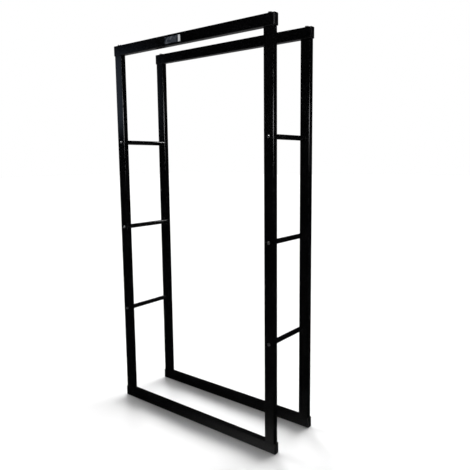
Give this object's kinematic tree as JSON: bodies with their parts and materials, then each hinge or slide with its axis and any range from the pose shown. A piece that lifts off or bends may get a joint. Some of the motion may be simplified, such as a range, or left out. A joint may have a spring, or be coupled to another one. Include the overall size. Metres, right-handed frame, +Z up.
{
  "type": "firewood log rack",
  "caption": "Tall, narrow, free-standing firewood rack of black powder-coated steel: two upright tube frames tied front to back by round rods.",
  "frame": {"origin": "on the floor, in the middle of the rack's footprint", "axes": "+Z up, +X from the left end to the right end as seen from the front, +Y from the front frame to the back frame"},
  "size_m": [0.8, 0.2578, 1.5043],
  "materials": {
    "coated_steel": "gloss",
    "black_screw": "satin",
    "cap_plastic": "satin",
    "plug_plastic": "matte",
    "blank_label": "satin"
  },
  "bodies": {
    "root": {"front_bottom_rail": "coated_steel", "front_bottom_rail_cap_left": "cap_plastic", "front_left_post_plug_bottom": "plug_plastic", "front_bottom_bolt_left": "black_screw", "front_bottom_rail_cap_right": "cap_plastic", "front_right_post_plug_bottom": "plug_plastic", "front_bottom_bolt_right": "black_screw", "front_top_rail": "coated_steel", "front_top_rail_cap_left": "cap_plastic", "front_left_post_plug_top": "plug_plastic", "front_top_bolt_left": "black_screw", "front_top_rail_cap_right": "cap_plastic", "front_right_post_plug_top": "plug_plastic", "front_top_bolt_right": "black_screw", "front_left_post": "coated_steel", "front_right_post": "coated_steel", "back_bottom_rail": "coated_steel", "back_bottom_rail_cap_left": "cap_plastic", "back_left_post_plug_bottom": "plug_plastic", "back_bottom_bolt_left": "black_screw", "back_bottom_rail_cap_right": "cap_plastic", "back_right_post_plug_bottom": "plug_plastic", "back_bottom_bolt_right": "black_screw", "back_top_rail": "coated_steel", "back_top_rail_cap_left": "cap_plastic", "back_left_post_plug_top": "plug_plastic", "back_top_bolt_left": "black_screw", "back_top_rail_cap_right": "cap_plastic", "back_right_post_plug_top": "plug_plastic", "back_top_bolt_right": "black_screw", "back_left_post": "coated_steel", "back_right_post": "coated_steel", "left_rod_low": "coated_steel", "left_rod_low_screw_front": "black_screw", "left_rod_low_screw_back": "black_screw", "left_rod_middle": "coated_steel", "left_rod_middle_screw_front": "black_screw", "left_rod_middle_screw_back": "black_screw", "left_rod_high": "coated_steel", "left_rod_high_screw_front": "black_screw", "left_rod_high_screw_back": "black_screw", "right_rod_low": "coated_steel", "right_rod_low_screw_front": "black_screw", "right_rod_low_screw_back": "black_screw", "right_rod_middle": "coated_steel", "right_rod_middle_screw_front": "black_screw", "right_rod_middle_screw_back": "black_screw", "right_rod_high": "coated_steel", "right_rod_high_screw_front": "black_screw", "right_rod_high_screw_back": "black_screw", "front_top_rail_label": "blank_label"}
  },
  "joints": []
}
